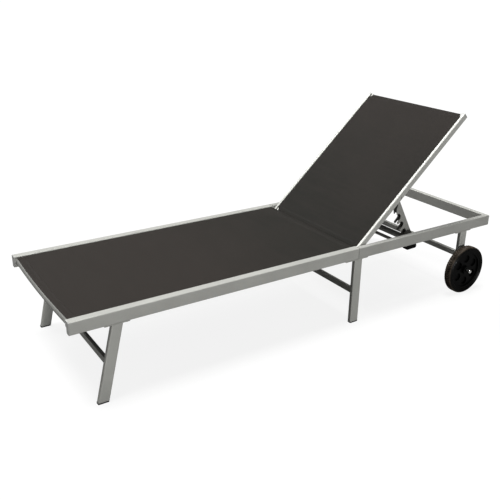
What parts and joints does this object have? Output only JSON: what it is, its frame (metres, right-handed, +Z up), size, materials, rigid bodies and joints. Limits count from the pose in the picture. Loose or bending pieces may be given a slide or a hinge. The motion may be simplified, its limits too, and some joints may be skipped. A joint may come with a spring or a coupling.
{
  "type": "reclining sun lounger",
  "caption": "Reclining sun lounger with a mesh sling bed, an adjustable backrest held by a notched rack, and two transport wheels at the head end.",
  "frame": {"origin": "on the ground, at the middle of the bounding box in plan", "axes": "+X runs along the bed from the foot end to the head end, +Y across the bed, +Z up; the seam between seat and backrest frame is at +X 0.204"},
  "size_m": [1.95, 0.7662, 0.8023],
  "materials": {
    "frame_paint": "satin",
    "grey_plastic": "matt",
    "sling_mesh": "woven, matt",
    "cord": "matt",
    "zinc_steel": "satin",
    "black_plastic": "matt",
    "cap_metal": "polished",
    "tyre_rubber": "matt"
  },
  "bodies": {
    "frame": {"seat_rail_left": "frame_paint", "seat_rail_right": "frame_paint", "rear_rail_left": "frame_paint", "rear_rail_right": "frame_paint", "rear_end_rail": "frame_paint", "rail_end_caps": "grey_plastic", "rail_joiners": "frame_paint", "foot_bow_bar": "frame_paint", "seat_rear_bar": "frame_paint", "seat_sling": "sling_mesh", "seat_keder_cords": "cord", "foot_leg_left": "frame_paint", "foot_leg_right": "frame_paint", "foot_stretcher": "frame_paint", "mid_leg_left": "frame_paint", "mid_leg_right": "frame_paint", "mid_stretcher": "frame_paint", "rear_leg_left": "frame_paint", "rear_leg_right": "frame_paint", "rear_stretcher": "frame_paint", "leg_plates": "frame_paint", "plate_screws": "zinc_steel", "leg_glides": "black_plastic", "rear_leg_plugs": "black_plastic", "rack_crossbar": "frame_paint", "crossbar_brackets": "frame_paint", "hinge_brackets": "frame_paint", "hinge_pins": "zinc_steel", "stub_axles": "zinc_steel", "axle_spacers": "black_plastic", "axle_caps": "cap_metal"},
    "backrest": {"back_rail_left": "frame_paint", "back_rail_right": "frame_paint", "back_top_bar": "frame_paint", "back_bottom_bar": "frame_paint", "back_sling": "sling_mesh", "back_keder_cords": "cord", "back_end_caps": "grey_plastic", "hinge_bushes": "black_plastic", "rack_pivot_bolts": "zinc_steel"},
    "support_rack": {"rack_left": "frame_paint", "rack_right": "frame_paint", "rack_tie_bar": "frame_paint", "rack_end_shoes": "black_plastic"},
    "wheel_left": {"wheel_left_tyre": "tyre_rubber", "wheel_left_rim": "black_plastic", "wheel_left_bush": "black_plastic"},
    "wheel_right": {"wheel_right_tyre": "tyre_rubber", "wheel_right_rim": "black_plastic", "wheel_right_bush": "black_plastic"}
  },
  "joints": [
    {"name": "backrest_recline", "type": "hinge", "parent": "frame", "child": "backrest", "pos_m": [0.2354, 0, 0.3148], "axis": [0, -1, 0], "range_deg": [-42.2, 0]},
    {"name": "rack_swing", "type": "hinge", "parent": "backrest", "child": "support_rack", "pos_m": [0.43514, 0, 0.49052], "axis": [0, -1, 0], "range_deg": [0, 103.05]},
    {"name": "wheel_left_spin", "type": "hinge", "parent": "frame", "child": "wheel_left", "pos_m": [0.817, -0.345, 0.1085], "axis": [0, 1, 0], "continuous": true},
    {"name": "wheel_right_spin", "type": "hinge", "parent": "frame", "child": "wheel_right", "pos_m": [0.817, 0.345, 0.1085], "axis": [0, 1, 0], "continuous": true}
  ],
  "couplings": [
    {"joint": "rack_swing", "follows": "backrest_recline", "ratio": -2.4408}
  ]
}
